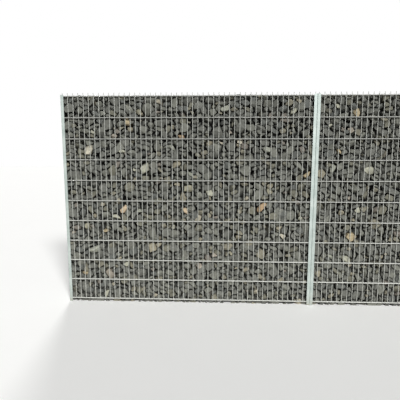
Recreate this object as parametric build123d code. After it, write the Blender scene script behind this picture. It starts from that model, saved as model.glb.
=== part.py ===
"""Gabion wall in bays: folded channel posts, double rod wire mats and stone between them.

Millimetres. X runs along the wall, Y from its front to its back, Z up from the ground.
The origin lies on the ground under the middle of the wall, and the front faces -Y.
"""
from build123d import *
import math
import os

# The wall as a whole
BAYS = 3
WALL_DEPTH = 230.0

# Channel posts, folded from galvanised sheet
POST_HEIGHT = 2048.0
POST_FLANGE = 30.0
POST_SHEET = 4.0
POST_INNER_BEND = 2.0

# Wire mats: a pair of rods in each row, with the uprights welded between the two
ROD_WIRE = 8.0
ROD_ROWS = 11
ROD_SPACING = 200.0
ROD_OVERHANG = 5.0
UPRIGHT_WIRE = 6.0
UPRIGHT_COUNT = 49
UPRIGHT_SPACING = 50.0
SPIKE_LENGTH = 30.0
MAT_GROUND_GAP = 31.0
MAT_SIDE_GAP = 8.0

# Stone fill
FILL_HEIGHT = 2025.0

# Ties that hold the two mats of a bay at their distance
TIE_PLAY = 1.0
TIE_LEG = 16.0
TIE_COLUMNS = 4
TIE_FIRST_ROW = 1
TIE_ROW_STEP = 3
TIE_SIDE_GAP = 0.5
TIE_TUNNEL_GAP = 0.5

# Along the wall, out from the middle of a bay
mat_half_width = (UPRIGHT_COUNT - 1) * UPRIGHT_SPACING / 2 + ROD_OVERHANG
web_inner_x = mat_half_width + MAT_SIDE_GAP
web_outer_x = web_inner_x + POST_SHEET
bay_pitch = 2 * web_outer_x

# Through the wall, out from its middle plane
flange_inner_y = WALL_DEPTH / 2 - POST_SHEET
outer_rod_y = flange_inner_y - ROD_WIRE / 2
upright_y = outer_rod_y - ROD_WIRE / 2 - UPRIGHT_WIRE / 2
inner_rod_y = upright_y - UPRIGHT_WIRE / 2 - ROD_WIRE / 2
fill_half_depth = inner_rod_y - ROD_WIRE / 2

# Up from the ground
rod_heights = [MAT_GROUND_GAP + ROD_WIRE / 2 + row * ROD_SPACING for row in range(ROD_ROWS)]
upright_length = rod_heights[-1] + SPIKE_LENGTH - MAT_GROUND_GAP

# A tie's hook goes down between the two rods of a row, and its bar lies on the inner rod
tie_wire = UPRIGHT_WIRE - TIE_PLAY
tie_heights = [z + (ROD_WIRE + tie_wire) / 2 for z in rod_heights[TIE_FIRST_ROW::TIE_ROW_STEP]]


def upright_x(index):
    """Where one upright of a mat stands along its bay."""
    return (index - (UPRIGHT_COUNT - 1) / 2) * UPRIGHT_SPACING


def tie_x(column):
    """Where a column of ties lies along its bay: close beside an upright."""
    upright_half_width = UPRIGHT_WIRE / 2 / math.cos(math.pi / 6)
    beside = upright_half_width + TIE_SIDE_GAP + tie_wire / 2
    return upright_x(int((column + 0.5) * UPRIGHT_COUNT / TIE_COLUMNS)) + beside


def cross_section(x):
    """The plane across the wall at one place along its bay, with its own x along Y."""
    return Plane(origin=(x, 0, 0), x_dir=(0, 1, 0), z_dir=(1, 0, 0))


def mat_rods(side):
    """The pairs of level rods of one mat, eight-sided, so that they meet other pieces on flats."""
    outline = Rot(0, 0, 180 / 8) * RegularPolygon(ROD_WIRE / 2, 8, major_radius=False)
    rod = extrude(cross_section(-mat_half_width) * outline, 2 * mat_half_width)
    return [Pos(0, side * y, z) * rod for z in rod_heights for y in (outer_rod_y, inner_rod_y)]


def mat_uprights(side):
    """The upright wires of one mat, six-sided, which end as spikes above its top rods."""
    outline = RegularPolygon(UPRIGHT_WIRE / 2, 6, major_radius=False)
    wire = extrude(outline, upright_length)
    return [Pos(upright_x(i), side * upright_y, MAT_GROUND_GAP) * wire for i in range(UPRIGHT_COUNT)]


def post(side):
    """A folded channel whose web closes the end of the bay and whose flanges lap over the mats."""
    outer_bend = POST_INNER_BEND + POST_SHEET
    tube = RectangleRounded(2 * POST_FLANGE, WALL_DEPTH, outer_bend)
    tube -= RectangleRounded(2 * (POST_FLANGE - POST_SHEET), WALL_DEPTH - 2 * POST_SHEET, POST_INNER_BEND)
    half = split(tube, Plane.YZ, keep=Keep.TOP)
    channel = extrude(Pos(web_outer_x - POST_FLANGE, 0) * half, POST_HEIGHT)
    return channel if side > 0 else mirror(channel, Plane.YZ)


def ties():
    """Bent wires that hook both mats together, lying on the inner rods."""
    end = upright_y + tie_wire / 2
    pieces = []
    for z in tie_heights:
        top = z + tie_wire / 2
        under = z - tie_wire / 2
        tip = under - TIE_LEG
        inside = end - tie_wire
        outline = Polyline((-end, top), (end, top), (end, tip), (inside, tip), (inside, under),
                           (-inside, under), (-inside, tip), (-end, tip), close=True)
        for column in range(TIE_COLUMNS):
            side_view = cross_section(tie_x(column)) * make_face(outline)
            pieces.append(extrude(side_view, tie_wire / 2, both=True))
    return pieces


def stone_fill():
    """The body of packed stone, from web to web and mat to mat, with a way through for each tie."""
    block = Pos(0, 0, FILL_HEIGHT / 2) * Box(2 * web_inner_x, 2 * fill_half_depth, FILL_HEIGHT)
    tunnel = Box(tie_wire + 2 * TIE_TUNNEL_GAP, 2 * fill_half_depth, tie_wire + 2 * TIE_TUNNEL_GAP)
    for z in tie_heights:
        for column in range(TIE_COLUMNS):
            block -= Pos(tie_x(column), 0, z) * tunnel
    return block


def main():
    """Write every piece of every bay to a file of its own."""
    os.makedirs("parts", exist_ok=True)
    pieces = {
        "left_post": [post(-1)],
        "right_post": [post(1)],
        "front_mat_rods": mat_rods(-1),
        "front_mat_uprights": mat_uprights(-1),
        "back_mat_rods": mat_rods(1),
        "back_mat_uprights": mat_uprights(1),
        "mat_ties": ties(),
        "stone_fill": [stone_fill()],
    }
    for bay in range(BAYS):
        middle = Pos((bay - (BAYS - 1) / 2) * bay_pitch, 0, 0)
        for name, solids in pieces.items():
            placed = [middle * solid for solid in solids]
            shape = placed[0] if len(placed) == 1 else Compound(children=placed)
            export_step(shape, f"parts/bay_{bay + 1}_{name}.step")


main()
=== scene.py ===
import math
import bmesh
import bpy
import numpy as np
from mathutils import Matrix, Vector, geometry, kdtree


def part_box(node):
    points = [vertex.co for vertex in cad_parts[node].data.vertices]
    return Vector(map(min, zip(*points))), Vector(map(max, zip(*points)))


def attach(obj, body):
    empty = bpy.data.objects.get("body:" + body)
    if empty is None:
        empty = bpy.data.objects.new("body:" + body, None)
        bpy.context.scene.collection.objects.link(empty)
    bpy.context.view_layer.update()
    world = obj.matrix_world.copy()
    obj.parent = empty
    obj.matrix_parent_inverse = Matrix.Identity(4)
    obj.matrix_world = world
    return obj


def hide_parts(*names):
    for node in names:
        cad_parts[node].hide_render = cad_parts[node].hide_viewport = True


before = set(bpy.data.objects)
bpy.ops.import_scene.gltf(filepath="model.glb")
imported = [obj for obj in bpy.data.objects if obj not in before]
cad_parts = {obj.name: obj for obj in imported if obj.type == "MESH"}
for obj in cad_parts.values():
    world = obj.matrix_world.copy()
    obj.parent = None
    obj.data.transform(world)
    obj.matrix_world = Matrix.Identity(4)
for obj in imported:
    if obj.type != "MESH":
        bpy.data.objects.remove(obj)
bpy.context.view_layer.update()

# The posts are channels folded from 4 mm steel sheet and hot-dip galvanised afterwards. Each
# stands at the end of a bay with its web outwards and its flanges over the ends of the mats,
# and where two bays meet, two of them are bolted back to back and read as one wide post.
BAYS = [f"bay_{number}" for number in (1, 2, 3)]
POST_SHEET = 0.004
POST_OUTER_BEND = 0.006
POST_BEND_STEPS = 6
POST_EDGE_ANGLE = 40


def linear(colour):
    """A colour of 0 to 255 steps a channel, as the eye sees it, in the linear values of a shader."""
    steps = [channel / 255 for channel in colour]
    return tuple(s / 12.92 if s <= 0.04045 else ((s + 0.055) / 1.055) ** 2.4 for s in steps) + (1.0,)


class Shade:
    """One output of a material's nodes. Arithmetic on it adds the Math nodes that it needs."""

    def __init__(self, tree, output=None):
        self.tree = tree
        self.output = output

    def node(self, kind, settings=(), inputs=(), output=0):
        """Add a node, with its settings first and then the values or links of its inputs."""
        node = self.tree.nodes.new(kind)
        for name, value in dict(settings).items():
            setattr(node, name, value)
        for name, value in dict(inputs).items():
            if isinstance(value, Shade):
                self.tree.links.new(value.output, node.inputs[name])
            else:
                node.inputs[name].default_value = value
        return Shade(self.tree, node.outputs[output])

    def math(self, operation, *values):
        """A Math node that works on some values in their order."""
        return self.node("ShaderNodeMath", {"operation": operation}, enumerate(values))

    def __add__(self, other):
        return self.math("ADD", self, other)

    def __radd__(self, other):
        return self.math("ADD", other, self)

    def __sub__(self, other):
        return self.math("SUBTRACT", self, other)

    def __rsub__(self, other):
        return self.math("SUBTRACT", other, self)

    def __mul__(self, other):
        return self.math("MULTIPLY", self, other)

    def __rmul__(self, other):
        return self.math("MULTIPLY", other, self)

    def between(self, low, high):
        """0 where this value is at low or beyond, 1 at high, and a straight slope between them."""
        return self.node("ShaderNodeMapRange", {"clamp": True}, {0: self, 1: low, 2: high, 3: 0.0, 4: 1.0})

    def blend(self, colour_off, colour_on):
        """The first colour where this mask is 0 and the second where it is 1."""
        return self.node("ShaderNodeMix", {"data_type": "RGBA"}, {0: self, 6: colour_off, 7: colour_on}, 2)

    def times(self, colour):
        """A colour made brighter or darker by this value."""
        fixed = colour if isinstance(colour, Shade) else colour[:3]
        return self.node("ShaderNodeVectorMath", {"operation": "SCALE"}, {0: fixed, "Scale": self})

    def place(self):
        """The place on the object in metres, in the frame of the whole wall."""
        return self.node("ShaderNodeTexCoord", output="Object")

    def along(self, place, axis):
        """How far a place lies along one axis of the frame: X, Y or Z."""
        return self.node("ShaderNodeSeparateXYZ", {}, {0: place}, axis)

    def stretched(self, place, scales):
        """A place with each of its directions scaled."""
        return self.node("ShaderNodeVectorMath", {"operation": "MULTIPLY"}, {0: place, 1: scales})

    def noise(self, place, size, detail=2.0):
        """Soft noise from 0 to 1 whose blotches are about as large as size, in metres."""
        return self.node("ShaderNodeTexNoise", {}, {"Vector": place, "Scale": 1 / size, "Detail": detail})

    def cells(self, place, size):
        """A level from 0 to 1 for each crystal-like cell, about as large as size."""
        cell = self.node("ShaderNodeTexVoronoi", {}, {"Vector": place, "Scale": 1 / size}, "Color")
        return self.node("ShaderNodeSeparateColor", {}, {0: cell})

    def bump(self, height, strength, distance):
        """A relief of the surface, at most as deep as distance, in metres."""
        return self.node("ShaderNodeBump", {}, {"Height": height, "Strength": strength, "Distance": distance})


def finish(name, build, **constants):
    """A material: build gives what varies over the surface, and constants go to the shader's sockets."""
    material = bpy.data.materials.new(name)
    material.use_nodes = True
    tree = material.node_tree
    surface = tree.nodes["Principled BSDF"]
    for socket, value in build(Shade(tree)).items():
        tree.links.new(value.output, surface.inputs[socket])
    for socket, value in constants.items():
        surface.inputs[socket.replace("_", " ")].default_value = value
    return material


POST_COLOUR = (196, 205, 200)
POST_SHADE = (175, 187, 182)
POST_SHADE_PATCHES = (0.35, 0.7)
POST_LEVEL = 0.93
POST_CRYSTAL_SIZE = 0.009
POST_CRYSTAL_TONE = 0.05
POST_CLOUD_SIZE = 0.12
POST_CLOUD_TONE = 0.10
POST_RUN_SCALES = (90, 90, 2.5)
POST_RUN_TONE = 0.05
POST_GRAIN_SIZE = 0.0015
POST_CRYSTAL_RELIEF = 0.6
POST_GRAIN_RELIEF = 0.4
POST_RELIEF = 0.15
POST_RELIEF_DEPTH = 0.0004
POST_ROUGHNESS = 0.42
POST_CRYSTAL_ROUGHNESS = 0.12
POST_METALLIC = 0.35
DUST_COLOUR = (150, 141, 124)
DUST_COVER = 0.8
DUST_SIZE = 0.02
DUST_PATCHES = (0.3, 0.7)
DUST_ROUGHNESS = 0.25
SPLASH_HEIGHT = 0.16


def post_finish(shade):
    """Zinc with crystals, soft clouds and faint runs down it, and dust splashed up from the ground."""
    place = shade.place()
    crystals = shade.cells(place, POST_CRYSTAL_SIZE)
    cloud = shade.noise(place, POST_CLOUD_SIZE)
    runs = shade.noise(shade.stretched(place, POST_RUN_SCALES), 1.0)
    level = POST_LEVEL + POST_CRYSTAL_TONE * crystals + POST_CLOUD_TONE * (cloud - 0.5)
    level = level + POST_RUN_TONE * (runs - 0.5)
    splash = 1 - shade.along(place, "Z").between(0.0, SPLASH_HEIGHT)
    dust = splash * splash * shade.noise(place, DUST_SIZE, detail=4.0).between(*DUST_PATCHES)
    zinc = (1 - cloud.between(*POST_SHADE_PATCHES)).blend(linear(POST_COLOUR), linear(POST_SHADE))
    relief = POST_CRYSTAL_RELIEF * crystals + POST_GRAIN_RELIEF * shade.noise(place, POST_GRAIN_SIZE)
    return {
        "Base Color": (dust * DUST_COVER).blend(level.times(zinc), linear(DUST_COLOUR)),
        "Roughness": POST_ROUGHNESS + POST_CRYSTAL_ROUGHNESS * crystals + DUST_ROUGHNESS * dust,
        "Metallic": POST_METALLIC * (1 - dust),
        "Normal": shade.bump(relief, POST_RELIEF, POST_RELIEF_DEPTH),
    }


def bend(centre, radius, start, steps):
    """The points of a quarter turn of a fold about its centre, from a start angle in degrees."""
    turns = [math.radians(start + 90 * step / steps) for step in range(steps + 1)]
    return [(centre[0] + radius * math.cos(t), centre[1] + radius * math.sin(t)) for t in turns]


def join_rings(shape, ring, following):
    """Put a face between each two neighbouring corners of a ring and the two of the ring that follows."""
    for side in range(len(ring)):
        beside = (side + 1) % len(ring)
        shape.faces.new((ring[side], ring[beside], following[beside], following[side]))


def smooth_mesh(name, shape, edge_angle):
    """The mesh of a finished shape, shaded smooth up to its edges, which turn by more than an angle."""
    mesh = bpy.data.meshes.new(name)
    shape.to_mesh(mesh)
    shape.free()
    mesh.shade_smooth()
    mesh.set_sharp_from_angle(angle=math.radians(edge_angle))
    return mesh


def channel_mesh(name, low, high, web_side):
    """A folded channel between two corners of its box, its web on the side given by web_side."""
    depth = (high.y - low.y) / 2
    flange = high.x - low.x
    back_fold = (flange - POST_OUTER_BEND, depth - POST_OUTER_BEND)
    front_fold = (back_fold[0], -back_fold[1])
    inner_bend = POST_OUTER_BEND - POST_SHEET
    outside = bend(front_fold, POST_OUTER_BEND, -90, POST_BEND_STEPS)
    outside += bend(back_fold, POST_OUTER_BEND, 0, POST_BEND_STEPS)
    inside = bend(front_fold, inner_bend, -90, POST_BEND_STEPS)
    inside += bend(back_fold, inner_bend, 0, POST_BEND_STEPS)
    section = [(0, -depth)] + outside + [(0, depth), (0, depth - POST_SHEET)]
    section += inside[::-1] + [(0, POST_SHEET - depth)]
    flange_tip = low.x if web_side > 0 else high.x
    shape = bmesh.new()
    foot = [shape.verts.new((flange_tip + web_side * x, y, low.z)) for x, y in section]
    top = [shape.verts.new((flange_tip + web_side * x, y, high.z)) for x, y in section]
    shape.faces.new(foot)
    join_rings(shape, foot, top)
    shape.faces.new(top)
    bmesh.ops.recalc_face_normals(shape, faces=shape.faces)
    return smooth_mesh(name, shape, POST_EDGE_ANGLE)


def put(name, mesh, material, slot, *nodes):
    """Put a mesh in the scene as a piece of the wall that stands for some of the CAD nodes."""
    piece = bpy.data.objects.new(name, mesh)
    bpy.context.scene.collection.objects.link(piece)
    mesh.materials.append(material)
    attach(piece, "root")
    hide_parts(*nodes)


post_steel = finish("galvanised_sheet", post_finish)
for bay in BAYS:
    for side, web_side in (("left", -1), ("right", 1)):
        node = f"{bay}_{side}_post"
        name = f"{node}_sheet"
        low, high = [Vector(corner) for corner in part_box(node)]
        put(name, channel_mesh(name, low, high, web_side), post_steel, "post_steel", node)

# The mats are welded from galvanised wire: a pair of thick rods in each row, with the thinner
# uprights between the two. The rods end a few millimetres short of the webs, behind the flanges.
ROD_RADIUS = 0.004
ROD_ROWS = 11
ROD_SPACING = 0.2
ROD_SIDES = 12
ROD_COLOUR = (206, 207, 201)
ROD_DULL_COLOUR = (178, 180, 174)
ROD_LEVEL = 0.62
# Painted light: how much paler the rods are painted towards the ground
ROD_PAINTED_GROUND_LIGHT_GAIN = 0.27
WIRE_EDGE_ANGLE = 50
WIRE_METALLIC = 0.15
# Heights over which the painted light from the ground fades out on the wires
WIRE_PAINTED_GROUND_LIGHT_HEIGHTS = (0.4, 1.6)
WIRE_DULL_PATCHES = (0.4, 0.75)
WIRE_CLOUD_SIZE = 0.05
WIRE_CLOUD_TONE = 0.20
WIRE_CRYSTAL_SIZE = 0.006
WIRE_CRYSTAL_TONE = 0.10
WIRE_GRAIN_SIZE = 0.002
WIRE_RELIEF = 0.2
WIRE_RELIEF_DEPTH = 0.0003
WIRE_ROUGHNESS = 0.45
WIRE_CLOUD_ROUGHNESS = 0.2


def wire_finish(bright, dull, level, painted_ground_light_gain):
    """The build of a galvanised wire's finish, with painted light that makes it paler towards the ground."""

    def build(shade):
        place = shade.place()
        cloud = shade.noise(place, WIRE_CLOUD_SIZE)
        # Painted light: the wire is painted paler towards the ground, as if lit by it
        painted_ground_light = 1 - shade.along(place, "Z").between(*WIRE_PAINTED_GROUND_LIGHT_HEIGHTS)
        tone = level + painted_ground_light_gain * painted_ground_light + WIRE_CLOUD_TONE * (cloud - 0.5)
        tone = tone + WIRE_CRYSTAL_TONE * shade.cells(place, WIRE_CRYSTAL_SIZE)
        zinc = cloud.between(*WIRE_DULL_PATCHES).blend(linear(bright), linear(dull))
        grain = shade.noise(place, WIRE_GRAIN_SIZE)
        return {
            "Base Color": tone.times(zinc),
            "Roughness": WIRE_ROUGHNESS + WIRE_CLOUD_ROUGHNESS * cloud,
            "Normal": shade.bump(grain, WIRE_RELIEF, WIRE_RELIEF_DEPTH),
        }

    return build


def tubes(name, paths, radius, sides):
    """One mesh of round wires, each along a path of points, with flat cut ends."""
    shape = bmesh.new()
    turns = [2 * math.pi * side / sides for side in range(sides)]
    for path in paths:
        points = [Vector(point) for point in path]
        last = None
        for index, point in enumerate(points):
            before = points[max(index - 1, 0)]
            after = points[min(index + 1, len(points) - 1)]
            along = (after - before).normalized()
            if last is None:
                across = along.orthogonal().normalized()
            else:
                across = (across - along * across.dot(along)).normalized()
            upward = along.cross(across)
            ways = [math.cos(t) * across + math.sin(t) * upward for t in turns]
            ring = [shape.verts.new(point + radius * way) for way in ways]
            if last is None:
                shape.faces.new(ring[::-1])
            else:
                join_rings(shape, last, ring)
            last = ring
        shape.faces.new(last)
    return smooth_mesh(name, shape, WIRE_EDGE_ANGLE)


def spread(low, high, count):
    """Evenly spaced places from low to high."""
    return [low + (high - low) * step / (count - 1) for step in range(count)]


def rod_heights(node):
    """The height of each row of rods of a mat."""
    low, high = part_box(node)
    return spread(low[2] + ROD_RADIUS, high[2] - ROD_RADIUS, ROD_ROWS)


rod_build = wire_finish(ROD_COLOUR, ROD_DULL_COLOUR, ROD_LEVEL, ROD_PAINTED_GROUND_LIGHT_GAIN)
rod_steel = finish("galvanised_rod", rod_build, Metallic=WIRE_METALLIC)
for bay in BAYS:
    for side in ("front", "back"):
        node = f"{bay}_{side}_mat_rods"
        name = f"{node}_round"
        low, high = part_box(node)
        depths = (low[1] + ROD_RADIUS, high[1] - ROD_RADIUS)
        paths = [((low[0], y, z), (high[0], y, z)) for z in rod_heights(node) for y in depths]
        put(name, tubes(name, paths, ROD_RADIUS, ROD_SIDES), rod_steel, "rod_steel", node)

# The uprights are thinner wires of the same mats. They pass between the rods of each pair, are
# welded to both, and end as short spikes above the top row.
UPRIGHT_RADIUS = 0.003
UPRIGHT_COUNT = 49
UPRIGHT_SPACING = 0.05
UPRIGHT_SIDES = 10
UPRIGHT_COLOUR = (200, 202, 195)
UPRIGHT_DULL_COLOUR = (168, 170, 163)
UPRIGHT_LEVEL = 0.81
# Painted light: how much paler the uprights are painted towards the ground
UPRIGHT_PAINTED_GROUND_LIGHT_GAIN = 0.12

upright_build = wire_finish(UPRIGHT_COLOUR, UPRIGHT_DULL_COLOUR, UPRIGHT_LEVEL, UPRIGHT_PAINTED_GROUND_LIGHT_GAIN)
upright_steel = finish("galvanised_wire", upright_build, Metallic=WIRE_METALLIC)
for bay in BAYS:
    for side in ("front", "back"):
        node = f"{bay}_{side}_mat_uprights"
        name = f"{node}_round"
        low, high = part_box(node)
        end = (high[0] - low[0] - (UPRIGHT_COUNT - 1) * UPRIGHT_SPACING) / 2
        y = (low[1] + high[1]) / 2
        places = spread(low[0] + end, high[0] - end, UPRIGHT_COUNT)
        paths = [((x, y, low[2]), (x, y, high[2])) for x in places]
        put(name, tubes(name, paths, UPRIGHT_RADIUS, UPRIGHT_SIDES), upright_steel, "upright_steel", node)

# The ties are bent wires that lie on the inner rods and hook down between the rods of a pair,
# so that the stone can't push the two mats apart.
TIE_RADIUS = 0.0025
TIE_SIDES = 8
TIE_BEND = 0.006
TIE_BEND_STEPS = 5
TIE_LEG = 0.016
TIE_COLUMNS = 4
TIE_ROWS = 4

for bay in BAYS:
    node = f"{bay}_mat_ties"
    name = f"{node}_bent"
    low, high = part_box(node)
    half_depth = (high[1] - low[1]) / 2 - TIE_RADIUS
    paths = []
    for z in spread(low[2] + TIE_LEG + TIE_RADIUS, high[2] - TIE_RADIUS, TIE_ROWS):
        tip = z - TIE_RADIUS - TIE_LEG
        hook = bend((half_depth - TIE_BEND, z - TIE_BEND), TIE_BEND, 0, TIE_BEND_STEPS)
        back_half = [(half_depth, tip)] + hook
        for x in spread(low[0] + TIE_RADIUS, high[0] - TIE_RADIUS, TIE_COLUMNS):
            path = [(x, y, h) for y, h in back_half]
            path += [(x, -y, h) for y, h in back_half[::-1]]
            paths.append(path)
    put(name, tubes(name, paths, TIE_RADIUS, TIE_SIDES), upright_steel, "tie_steel", node)

# The fill is broken hard stone, mostly dark grey with a few buff and pale pieces, tipped in from
# above, pressed to the mats and levelled at the top. Each stone is a blocky lump with flat broken
# faces, wedged between its neighbours.
STONES_IN_BAY = 4230
STONE_RADIUS = 0.0245
STONE_RADIUS_RANGE = (0.016, 0.042)
STONE_RADIUS_SPREAD = 0.28
LONGEST_AXIS = (1.25, 1.75)
LONGEST_AXIS_TILT = 0.6
MIDDLE_AXIS = (0.95, 1.25)
SHORTEST_AXIS = (0.65, 0.95)
INNER_SHARE = 0.14
INNER_GROWTH = 1.4
FIRST_SEED = 11

# Steps that spread a series of points evenly through a box
EVEN_STEPS = (0.81917, 0.67104, 0.54970)

# How far the stones may come outwards, upwards and down past the ground, where they end flat
MESH_REACH = 0.0965
ROD_REACH = 0.0885
LAYER_DEPTH = 0.035
TOP_LEVEL = 2.042
GROUND_DIP = 0.036


def unit(vectors):
    """The same directions with a length of 1."""
    return vectors / np.linalg.norm(vectors, axis=-1, keepdims=True)


def scattered_stones(rng, low, high):
    """Where each stone starts, spread evenly through a box, and whether it is one deep inside.

    The middle third of the depth gets only a small share of the stones, which are larger.
    """
    shares = np.arange(STONES_IN_BAY)[:, None] * EVEN_STEPS + rng.uniform(0, 1, 3)
    shares %= 1.0
    inner = np.abs(shares[:, 1] - 0.5) < INNER_SHARE / 2
    edges = (0, 0.5 - INNER_SHARE / 2, 0.5 + INNER_SHARE / 2, 1)
    thirds = (0, 1 / 3, 2 / 3, 1)
    shares[:, 1] = np.interp(shares[:, 1], edges, thirds)
    return low + (high - low) * shares, inner


def stone_axes(rng, growth):
    """The half-axes of each stone as the columns of a matrix, its longest one nearer to level."""
    count = len(growth)
    turn = rng.uniform(0, 2 * math.pi, count)
    longest = unit(np.column_stack([np.cos(turn), np.sin(turn), rng.normal(0, LONGEST_AXIS_TILT, count)]))
    middle = unit(np.cross(longest, rng.normal(size=(count, 3))))
    shortest = np.cross(longest, middle)
    radii = STONE_RADIUS * np.exp(rng.normal(0, STONE_RADIUS_SPREAD, count))
    radii = growth * np.clip(radii, *STONE_RADIUS_RANGE)
    lengths = [rng.uniform(*reach, count) * radii for reach in (LONGEST_AXIS, MIDDLE_AXIS, SHORTEST_AXIS)]
    return np.stack([longest, middle, shortest], axis=2) * np.stack(lengths, axis=1)[:, None, :]


# Shares of the stones, with the tone of each
STONE_TONES = (
    (0.465, (101, 102, 96)),
    (0.23, (111, 112, 104)),
    (0.14, (91, 93, 89)),
    (0.08, (108, 107, 95)),
    (0.040, (121, 118, 104)),
    (0.015, (136, 131, 114)),
    (0.005, (152, 147, 131)),
    (0.015, (116, 111, 103)),
)
TONE_SPREAD = 0.07
TONE_RANGE = (0.55, 1.6)
PALE = (162, 162, 146)
PALE_GREY = (146, 148, 136)
TAN = (162, 149, 121)
BUFF = (184, 166, 140)
BROWN = (162, 139, 110)
OLIVE = (142, 139, 121)
ROSE = (148, 141, 129)
CREAM = (182, 177, 160)

# Stones that stand out in the first bays: the upright and the row of rods that each lies at or
# between, counted from the left and from the ground, and its tone. A broad stone is chosen.
BREADTH_SHARE = 0.7
NOTABLE_STONES = {
    "bay_1": (
        (13.6, 9.8, TAN), (15.5, 10.3, OLIVE), (6.7, 9.3, PALE), (10.5, 9.1, ROSE), (5.6, 8.5, CREAM),
        (12.3, 8.4, PALE), (23.8, 9.1, BROWN), (21.8, 8.6, PALE_GREY), (14.7, 7.5, PALE), (16.7, 7.6, PALE),
        (25.6, 7.3, PALE_GREY), (25.3, 6.6, OLIVE), (12.1, 5.5, BUFF), (10.6, 5.2, PALE),
        (15.5, 5.5, PALE_GREY), (2.0, 4.4, ROSE), (4.9, 4.7, OLIVE), (8.6, 4.5, TAN), (6.1, 3.5, PALE_GREY),
        (3.9, 2.3, TAN), (9.0, 2.3, ROSE), (12.5, 2.8, PALE), (8.1, 1.2, PALE), (22.1, 4.7, PALE),
        (24.7, 5.5, BUFF), (39.4, 5.7, BROWN), (46.9, 5.2, PALE), (43.6, 4.3, CREAM), (30.1, 3.3, ROSE),
        (33.5, 3.4, OLIVE), (27.1, 2.7, ROSE), (33.3, 9.3, ROSE), (35.0, 8.9, CREAM), (40.3, 8.5, PALE_GREY),
        (47.9, 7.3, TAN), (29.4, 6.4, PALE), (41.0, 6.5, OLIVE), (45.1, 10.3, PALE), (32.3, 10.4, PALE_GREY),
    ),
    "bay_2": (
        (3.2, 9.6, PALE), (7.1, 9.4, ROSE), (8.0, 10.2, TAN), (4.6, 10.5, PALE), (4.2, 7.6, PALE_GREY),
        (11.2, 7.5, PALE), (5.2, 8.4, TAN), (9.4, 5.6, PALE), (8.3, 4.3, TAN), (7.5, 3.2, PALE),
        (4.2, 3.3, PALE_GREY), (7.5, 6.2, ROSE),
    ),
}


def notable_spots(bay, notable, bottom_row):
    """Where the stones that stand out in a bay lie, along the wall and up."""
    first_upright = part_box(f"{bay}_front_mat_uprights")[0][0] + UPRIGHT_RADIUS
    steps = np.array([(upright - 1, row - 1) for upright, row, _ in notable]).reshape(-1, 2)
    return (first_upright, bottom_row) + steps * (UPRIGHT_SPACING, ROD_SPACING)


def held_stones(spots, centres, extents):
    """The stone for each spot: one of the front layer that is near to it and broad."""
    held = []
    for spot in spots:
        away = np.linalg.norm(centres[:, ::2] - spot, axis=1) + (centres[:, 1] > -LAYER_DEPTH)
        away -= BREADTH_SHARE * (extents[:, 0] + extents[:, 2])
        away[held] = np.inf
        held.append(int(np.argmin(away)))
    return held


def stone_colours(rng, held, notable):
    """The colour of each stone: a tone drawn by its share and varied a little, or its own tone."""
    chances = np.array([chance for chance, _ in STONE_TONES])
    tones = rng.choice(len(STONE_TONES), STONES_IN_BAY, p=chances / chances.sum())
    levels = np.clip(rng.normal(1.0, TONE_SPREAD, STONES_IN_BAY), *TONE_RANGE)
    colours = np.array([linear(tone) for _, tone in STONE_TONES])[tones] * levels[:, None]
    for index, (_, _, tone) in zip(held, notable):
        colours[index] = linear(tone)
    return colours


# How they are packed: in turns of some small pushes each, which part the stones and also press
# the outer ones to the mats. Two stones of closeness 1 only just touch, and each fit is the share
# of a stone's half-width that has to stay inside.
PACKING_TURNS = 8
PUSHES_IN_TURN = 5
PUSH_SHARE = 0.3
PAIR_REACH = 0.135
STONE_CLOSENESS = 0.96
STONE_PRESS = 0.0028
LEVELLED_DEPTH = 0.07
FIT_TO_MATS = 0.92
FIT_LOW = 0.85
FIT_HIGH = 0.9
NEVER_ZERO = 1e-9


def near_pairs(centres, reach):
    """Every pair of stones whose centres lie within reach of each other."""
    tree = kdtree.KDTree(len(centres))
    for index, centre in enumerate(centres):
        tree.insert(centre, index)
    tree.balance()
    pairs = []
    for index, centre in enumerate(centres):
        pairs += [(index, other) for _, other, _ in tree.find_range(centre, reach) if other > index]
    return np.array(pairs).T


def mesh_reach(centres, extents, rows):
    """How far out each stone may come: up to the uprights, or up to the inner rods beside a row."""
    beside = (np.abs(centres[:, 2:] - rows) < extents[:, 2:] + ROD_RADIUS).any(axis=1)
    return np.where(beside, ROD_REACH, MESH_REACH)


def push_apart(centres, first, second, facing):
    """Move the stones of each pair that lies too close a little apart."""
    apart = centres[second] - centres[first]
    normal = np.einsum("nij,nj->ni", facing, apart)
    closeness = np.sqrt(0.5 * np.einsum("ni,ni->n", normal, apart)) + NEVER_ZERO
    short = np.maximum(STONE_CLOSENESS / closeness - 1, 0) * np.linalg.norm(apart, axis=1)
    push = unit(normal) * np.minimum(short, STONE_RADIUS)[:, None] * PUSH_SHARE
    for side in range(3):
        centres[:, side] -= np.bincount(first, push[:, side], len(centres))
        centres[:, side] += np.bincount(second, push[:, side], len(centres))


def packed_stones(centres, low, high, rows, spreads, held, spots):
    """The centres of stones in a box, pushed apart until they only just overlap their neighbours.

    The outer ones are pressed to the mats and the top ones upward, to a level. The held ones stay
    in front at their own spots.
    """
    extents = np.sqrt(np.diagonal(spreads, axis1=1, axis2=2))
    for _ in range(PACKING_TURNS):
        first, second = near_pairs(centres, PAIR_REACH)
        facing = np.linalg.inv(spreads[first] + spreads[second])
        for _ in range(PUSHES_IN_TURN):
            push_apart(centres, first, second, facing)
            reach = mesh_reach(centres, extents, rows) - FIT_TO_MATS * extents[:, 1]
            centres = np.clip(centres, low + FIT_LOW * extents, high - FIT_HIGH * extents)
            centres[:, 1] += STONE_PRESS * np.sign(centres[:, 1]) * (np.abs(centres[:, 1]) > LAYER_DEPTH)
            centres[:, 2] += STONE_PRESS * (centres[:, 2] > high[2] - LEVELLED_DEPTH)
            centres[held, 1] = -reach[held]
            centres[held, ::2] = spots
            centres[:, 1] = np.clip(centres[:, 1], -reach, reach)
            centres[:, 2] = np.minimum(centres[:, 2], high[2] - FIT_HIGH * extents[:, 2])
    return centres


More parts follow.
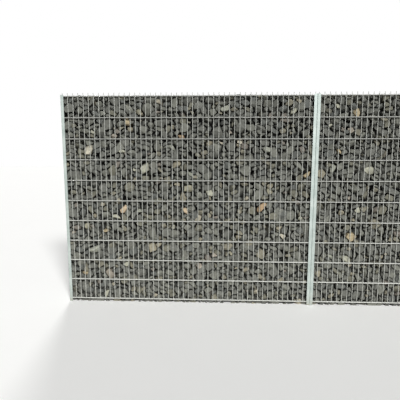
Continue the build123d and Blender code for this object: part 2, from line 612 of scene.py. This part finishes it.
# How they are broken: six skewed sides, a few chips and a plane with a gap for each neighbour. The
# inner ones fill their cells and close the wall, so that no light comes through.
NEIGHBOUR_REACH = 1.2 * PAIR_REACH
CONTACT_CLOSENESS = 1.45
CONTACT_TILT = 0.07
STONE_GAP = 0.0033
STONE_WEAR = 0.05
SIDE_SKEW = 0.32
SIDE_CUTS = (0.72, 0.93)
CHIP_COUNTS = (2, 6)
CHIP_CUTS = (0.86, 1.06)
CELL_REACH = 0.085
SHOWN_FACING = 0.75
CLOSED_LEVEL = 2.041
CORE_RISE = 0.005
SAME_PLANE = 1e-4
SAME_CORNER = 1e-5
ON_PLANE = 2e-4


def contact_planes(centres, spreads, pairs, rng):
    """For each stone, the planes that part it from its neighbours, each a direction and a distance."""
    first, second = pairs
    apart = centres[second] - centres[first]
    normal = np.linalg.solve(spreads[first] + spreads[second], apart[..., None])[..., 0]
    near = np.sqrt(0.5 * np.einsum("ni,ni->n", normal, apart)) < CONTACT_CLOSENESS
    planes = [[] for _ in centres]
    for stone, sign in ((first[near], 1), (second[near], -1)):
        way = unit(normal[near])
        distance = np.einsum("ni,nij,nj->n", way, spreads[stone], normal[near]) - STONE_GAP
        way = unit(way + rng.normal(0, CONTACT_TILT, way.shape)) * sign
        for index, plane in zip(stone, np.column_stack([way, distance])):
            planes[index].append(plane)
    return planes


def cell_planes(centres, radii, pairs):
    """For each stone, the planes of the cell that is its share of the room, with no gap between cells."""
    first, second = pairs
    apart = centres[second] - centres[first]
    length = np.linalg.norm(apart, axis=1)
    balance = (radii[first] ** 2 - radii[second] ** 2) / length
    planes = [[] for _ in centres]
    for stone, sign in ((first, 1), (second, -1)):
        distance = (length + sign * balance) / 2
        near = distance < CELL_REACH
        way = sign * apart / length[:, None]
        for index, plane in zip(stone[near], np.column_stack([way, distance])[near]):
            planes[index].append(plane)
    return planes


def box_planes(centre, low, high, ground, reach):
    """The planes that a stone doesn't pass: the webs, the mats, the ground and, last, the top."""
    return [
        (1, 0, 0, high[0] - centre[0]),
        (-1, 0, 0, centre[0] - low[0]),
        (0, 1, 0, reach - centre[1]),
        (0, -1, 0, reach + centre[1]),
        (0, 0, -1, centre[2] - ground),
        (0, 0, 1, high[2] - centre[2]),
    ]


def body_corners(planes, size):
    """The corners of the body inside some planes, measured in its size, and the planes to match."""
    scaled = np.column_stack([planes[:, :3], -planes[:, 3] / size])
    corners, _ = geometry.points_in_planes([tuple(plane) for plane in scaled], SAME_PLANE, SAME_CORNER)
    return np.array([tuple(corner) for corner in corners]).reshape(-1, 3), scaled


def stone_cuts(axes, rng):
    """The broken faces of a stone: six that make it a skewed block and some chips off its corners."""
    sides = np.concatenate([np.eye(3), -np.eye(3)]) + rng.normal(0, SIDE_SKEW, (6, 3))
    chips = rng.normal(size=(rng.integers(*CHIP_COUNTS), 3))
    reach = np.concatenate([rng.uniform(*SIDE_CUTS, len(sides)), rng.uniform(*CHIP_CUTS, len(chips))])
    ways = unit(np.concatenate([sides, chips])) @ np.linalg.inv(axes)
    length = np.linalg.norm(ways, axis=1)
    return np.column_stack([ways / length[:, None], reach / length])


def core_planes(cell, cuts, centre, at_top):
    """The planes of a stone of the closed core, which fills its cell but for its outward broken faces."""
    shown = cuts[:, 1] * np.sign(centre[1]) > SHOWN_FACING
    upward = at_top & (cuts[:, 2] > SHOWN_FACING)
    cuts[upward, 3] = np.maximum(cuts[upward, 3], cuts[upward, 2] * (CLOSED_LEVEL - centre[2]))
    return np.concatenate([cuts[shown | upward], cell])


# A direction that hardly any face of a stone points in
SLANTED = (0.13, 0.57, 0.81)


def stone_shape(planes, size, wear, rng):
    """Corners and faces of the body inside some planes, its corners a little worn off, if any is left."""
    points, scaled = body_corners(planes, size)
    if len(points) < 4:
        return None
    across = unit(np.cross(planes[:, :3], SLANTED))
    upward = np.cross(planes[:, :3], across)
    on_plane = np.abs(points @ scaled[:, :3].T + scaled[:, 3]) < ON_PLANE
    along = points @ across.T
    up = points @ upward.T
    faces = []
    middles = []
    for number in np.nonzero(on_plane.sum(axis=0) > 2)[0]:
        on = np.nonzero(on_plane[:, number])[0]
        x = along[on, number]
        y = up[on, number]
        face = on[np.argsort(np.arctan2(y.mean() - y, x - x.mean()))].tolist()
        if wear and len(face) > 3:
            middle = len(points) + len(middles)
            middles.append(points[face].mean(axis=0))
            faces += [[corner, follow, middle] for corner, follow in zip(face, face[1:] + face[:1])]
        else:
            faces.append(face)
    if middles:
        points = np.concatenate([points, middles])
    return points * rng.uniform(1 - wear, 1.0, (len(points), 1)) * size, faces


def layer(depth):
    """The layer that a stone belongs to, by how far back from the wall's middle its centre lies."""
    if depth < -LAYER_DEPTH:
        return "front"
    if depth > LAYER_DEPTH:
        return "back"
    return "middle"


def add_stone(heap, points, faces, colour):
    """Add one stone to the corners, faces and colours of a heap."""
    heap_points, heap_faces, heap_colours = heap
    start = len(heap_points)
    heap_points.extend(points.tolist())
    heap_faces.extend([[start + corner for corner in face] for face in faces])
    heap_colours.extend([colour] * len(points))


def fill_bay(bay, seed):
    """All the stones of one bay, as three heaps: at the front, in the middle and at the back."""
    rng = np.random.default_rng(seed)
    low, high = [np.array(corner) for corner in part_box(f"{bay}_stone_fill")]
    ground = low[2]
    low[1:] = (-MESH_REACH, ground - GROUND_DIP)
    high[1:] = (MESH_REACH, TOP_LEVEL)
    rows = np.array(rod_heights(f"{bay}_front_mat_rods"))
    centres, inner = scattered_stones(rng, low, high)
    axes = stone_axes(rng, np.where(inner, INNER_GROWTH, 1.0))
    spreads = axes @ axes.transpose(0, 2, 1)
    extents = np.sqrt(np.diagonal(spreads, axis1=1, axis2=2))
    notable = NOTABLE_STONES.get(bay, ())
    spots = notable_spots(bay, notable, rows[0])
    held = held_stones(spots, centres, extents)
    centres = packed_stones(centres, low, high, rows, spreads, held, spots)
    pairs = near_pairs(centres, NEIGHBOUR_REACH)
    contacts = contact_planes(centres, spreads, pairs, rng)
    cells = cell_planes(centres, np.linalg.det(spreads) ** (1 / 6), pairs)
    reach = mesh_reach(centres, extents, rows)
    colours = stone_colours(rng, held, notable)
    heaps = {part: ([], [], []) for part in ("front", "middle", "back")}
    for index, centre in enumerate(centres):
        size = extents[index].max()
        box = box_planes(centre, low, high, ground, reach[index])
        cuts = stone_cuts(axes[index], rng)
        cell = np.array(cells[index] + box)
        cell[-1, 3] += CORE_RISE
        room = body_corners(cell, size)[0] * size + centre
        core = len(room) > 3 and (room[:, 1] * np.sign(centre[1])).min() < 0
        if core:
            planes = core_planes(cell, cuts, centre, room[:, 2].max() > high[2])
        else:
            planes = np.concatenate([cuts, contacts[index] + box])
        shape = stone_shape(planes, size, 0.0 if core else STONE_WEAR, rng)
        if shape:
            points, faces = shape
            add_stone(heaps[layer(centre[1])], points + centre, faces, colours[index])
    return heaps


def stone_mesh(name, heap):
    """The mesh of a heap of stones, with the tone of each stone on its corners."""
    points, faces, colours = heap
    mesh = bpy.data.meshes.new(name)
    mesh.from_pydata(points, [], faces)
    tones = mesh.color_attributes.new("stone_tone", "FLOAT_COLOR", "POINT")
    tones.data.foreach_set("color", np.array(colours, dtype=np.float32).ravel())
    mesh.validate()
    return mesh


# The look of the broken faces, with painted shade deep in the gaps, less of it near the ground and the top
PAINTED_SHADE_LEVEL = 0.09
PAINTED_SHADE_DEPTHS = (0.042, 0.082)
PAINTED_SHADE_FADE_HEIGHTS = (1.92, 2.0)
# Painted light from the ground, which eases the painted shade in the gaps low down
PAINTED_GAP_LIGHT = 0.42
PAINTED_GAP_LIGHT_HEIGHTS = (0.45, 1.05)
# Painted light from the ground, which makes the lower stones paler
PAINTED_GROUND_LIGHT_HEIGHTS = (0.9, 1.7)
PAINTED_GROUND_LIGHT_GAIN = 0.12
STONE_LEVEL = 0.28
STONE_CLOUD_SIZE = 0.018
STONE_CLOUD_TONE = 1.1
STONE_GRAIN_SIZE = 0.004
STONE_GRAIN_TONE = 0.3
STONE_FLECK_SIZE = 0.0016
STONE_FLECK_TONE = 0.35
STONE_FLECK_PATCHES = (0.62, 0.75)
STONE_LUMP_SIZE = 0.012
STONE_LUMP_RELIEF = 0.6
STONE_GRAIN_RELIEF = 0.4
STONE_RELIEF = 0.6
STONE_RELIEF_DEPTH = 0.004
STONE_ROUGHNESS = 0.72
STONE_GRAIN_ROUGHNESS = 0.2
STONE_GLOSS = 0.35


def stone_finish(shade):
    """Broken stone with clouds, grain and flecks, with painted shade deep in the gaps and painted light low
    down.
    """
    place = shade.place()
    tone = shade.node("ShaderNodeAttribute", {"attribute_name": "stone_tone"}, {}, "Color")
    # Painted shade: the deeper a face lies behind the mats, the darker it is painted, but not at the top
    depth = shade.math("ABSOLUTE", shade.along(place, "Y")).between(*PAINTED_SHADE_DEPTHS)
    height = shade.along(place, "Z")
    # Painted light: the low gaps are painted less dark, as if lit from the ground
    painted_gap_light = PAINTED_GAP_LIGHT * (1 - height.between(*PAINTED_GAP_LIGHT_HEIGHTS))
    out_of_painted_shade = shade.math("MAXIMUM", shade.math("MAXIMUM", depth, painted_gap_light), height.between(*PAINTED_SHADE_FADE_HEIGHTS))
    # Painted light: the stones are painted paler towards the ground, as if lit by it
    painted_ground_light = 1 + PAINTED_GROUND_LIGHT_GAIN * (1 - height.between(*PAINTED_GROUND_LIGHT_HEIGHTS))
    cloud = shade.noise(place, STONE_CLOUD_SIZE, detail=5.0)
    grain = shade.noise(place, STONE_GRAIN_SIZE, detail=3.0)
    fleck = shade.noise(place, STONE_FLECK_SIZE, detail=1.0).between(*STONE_FLECK_PATCHES)
    level = STONE_LEVEL + STONE_CLOUD_TONE * cloud + STONE_GRAIN_TONE * grain + STONE_FLECK_TONE * fleck
    # The painted shade of the gaps and the painted light from the ground scale the colour here
    level = level * painted_ground_light * (PAINTED_SHADE_LEVEL + (1 - PAINTED_SHADE_LEVEL) * out_of_painted_shade)
    lumps = shade.noise(place, STONE_LUMP_SIZE, detail=5.0)
    relief = STONE_LUMP_RELIEF * lumps + STONE_GRAIN_RELIEF * grain
    return {
        "Base Color": level.times(tone),
        "Roughness": STONE_ROUGHNESS + STONE_GRAIN_ROUGHNESS * grain,
        "Normal": shade.bump(relief, STONE_RELIEF, STONE_RELIEF_DEPTH),
    }


stone = finish("broken_stone", stone_finish, Specular_IOR_Level=STONE_GLOSS)
for number, bay in enumerate(BAYS):
    for part, heap in fill_bay(bay, FIRST_SEED + number).items():
        name = f"{bay}_stones_{part}"
        put(name, stone_mesh(name, heap), stone, "stone", f"{bay}_stone_fill")

# The wall stands on a plain pale floor, which throws back more light near the wall than far off.
# The light is soft: most of it falls from above the front, a little from the right, and some
# from behind.
FLOOR_SIZE = 60.0
FLOOR_COLOUR = (243, 243, 241)
FLOOR_CLOUD_SIZE = 0.5
FLOOR_CLOUD_TONE = 0.02
FLOOR_LEVEL = 0.99
FLOOR_ROUGHNESS = 0.9
FLOOR_LIFT = 0.08
NEAR_BOUNCE = (222, 219, 213)
FAR_BOUNCE = (110, 109, 106)
BOUNCE_DEPTHS = (1.4, 2.8)
SKY_LEVEL = 0.13
SEEN_RAYS = ("Camera", "Glossy", "Transmission")


def seen_rays(shade):
    """1 for what the camera sees, straight or in a gloss, and 0 for light that falls on things."""
    rays = [shade.node("ShaderNodeLightPath", {}, {}, f"Is {kind} Ray") for kind in SEEN_RAYS]
    return shade.math("MAXIMUM", shade.math("MAXIMUM", rays[0], rays[1]), rays[2])


def floor_finish(shade):
    """A pale matt floor, a little lifted where it is seen. Its light on things fades with distance."""
    seen = seen_rays(shade)
    place = shade.place()
    away = shade.math("ABSOLUTE", shade.along(place, "Y"))
    bounce = away.between(*BOUNCE_DEPTHS).blend(linear(NEAR_BOUNCE), linear(FAR_BOUNCE))
    tone = seen.blend(bounce, linear(FLOOR_COLOUR))
    level = FLOOR_LEVEL + FLOOR_CLOUD_TONE * shade.noise(place, FLOOR_CLOUD_SIZE)
    lift = seen.blend((0.0, 0.0, 0.0, 1.0), (FLOOR_LIFT, FLOOR_LIFT, FLOOR_LIFT, 1.0))
    return {"Base Color": level.times(tone), "Emission Color": lift}


half = FLOOR_SIZE / 2
corners = [(-half, -half, 0), (half, -half, 0), (half, half, 0), (-half, half, 0)]
floor_mesh = bpy.data.meshes.new("floor")
floor_mesh.from_pydata(corners, [], [(0, 1, 2, 3)])
pale_floor = finish("floor_finish", floor_finish, Roughness=FLOOR_ROUGHNESS, Emission_Strength=1.0)
floor_mesh.materials.append(pale_floor)
floor = bpy.data.objects.new("floor", floor_mesh)
bpy.context.scene.collection.objects.link(floor)

world = bpy.data.worlds.new("studio")
world.use_nodes = True
background = world.node_tree.nodes["Background"]
strength = SKY_LEVEL + (1 - SKY_LEVEL) * seen_rays(Shade(world.node_tree))
world.node_tree.links.new(strength.output, background.inputs["Strength"])
background.inputs["Color"].default_value = (1.0, 1.0, 1.0, 1.0)
bpy.context.scene.world = world


def lamp(name, height, bearing, strength, softness):
    """A distant soft lamp, at a height and a bearing from the wall's front, both in degrees."""
    light = bpy.data.lights.new(name, "SUN")
    light.energy = strength
    light.angle = math.radians(softness)
    holder = bpy.data.objects.new(name, light)
    holder.rotation_euler = (math.radians(90 - height), 0, math.radians(bearing))
    bpy.context.scene.collection.objects.link(holder)


lamp("front_lamp", height=31, bearing=20, strength=3.5, softness=12)
lamp("back_lamp", height=35, bearing=189, strength=1.25, softness=10)

# The camera stands where the photograph was taken, at eye height in front of the first bay. It
# looks a little down and to the left, and its shift takes up how the photograph is cropped.
CAMERA_PLACE = (-2.024, -4.998, 1.591)
CAMERA_YAW = 3.27
CAMERA_PITCH = 10.47
SENSOR_WIDTH = 36.0
PICTURE_PIXELS = 400
FOCAL_PIXELS = 503.3
CENTRE_COLUMN = 201.0
CENTRE_ROW = 236.6

camera = bpy.data.cameras.new("camera")
camera.sensor_width = SENSOR_WIDTH
camera.lens = FOCAL_PIXELS / PICTURE_PIXELS * SENSOR_WIDTH
camera.shift_x = (PICTURE_PIXELS / 2 - CENTRE_COLUMN) / PICTURE_PIXELS
camera.shift_y = (CENTRE_ROW - PICTURE_PIXELS / 2) / PICTURE_PIXELS
viewer = bpy.data.objects.new("camera", camera)
viewer.location = CAMERA_PLACE
viewer.rotation_euler = (math.radians(90 - CAMERA_PITCH), 0, math.radians(CAMERA_YAW))
bpy.context.scene.collection.objects.link(viewer)
bpy.context.scene.camera = viewer
bpy.context.scene.view_settings.view_transform = "Standard"
